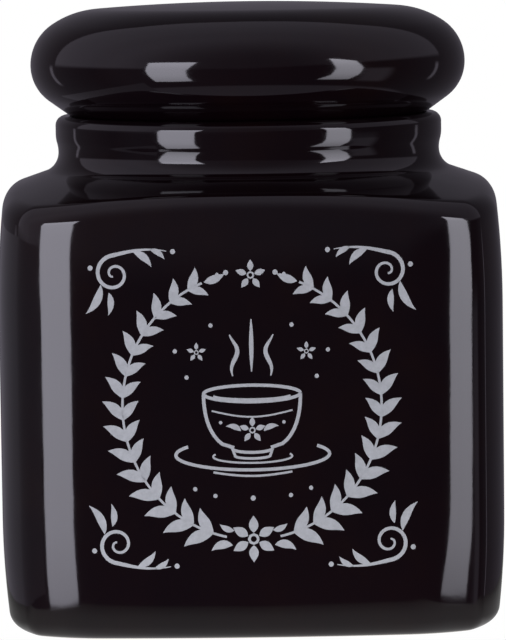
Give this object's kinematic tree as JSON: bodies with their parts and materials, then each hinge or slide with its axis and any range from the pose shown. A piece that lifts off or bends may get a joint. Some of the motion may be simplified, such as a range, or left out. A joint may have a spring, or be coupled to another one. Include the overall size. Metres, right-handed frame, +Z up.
{
  "type": "tea jar",
  "caption": "Glazed ceramic tea jar: a soft-square body with bulged walls, a sloping shoulder and a round neck, closed by a round pillow-shaped lid",
  "frame": {"origin": "centre of the flat foot ring, on the surface the jar stands on", "axes": "+Z up through the middle of the lid, -Y out of the printed front wall, +X to the right of that wall"},
  "size_m": [0.12, 0.12, 0.1448],
  "materials": {
    "glaze": "gloss",
    "lid_glaze": "gloss"
  },
  "bodies": {
    "root": {"jar": "glaze", "lid": "lid_glaze"}
  },
  "joints": []
}
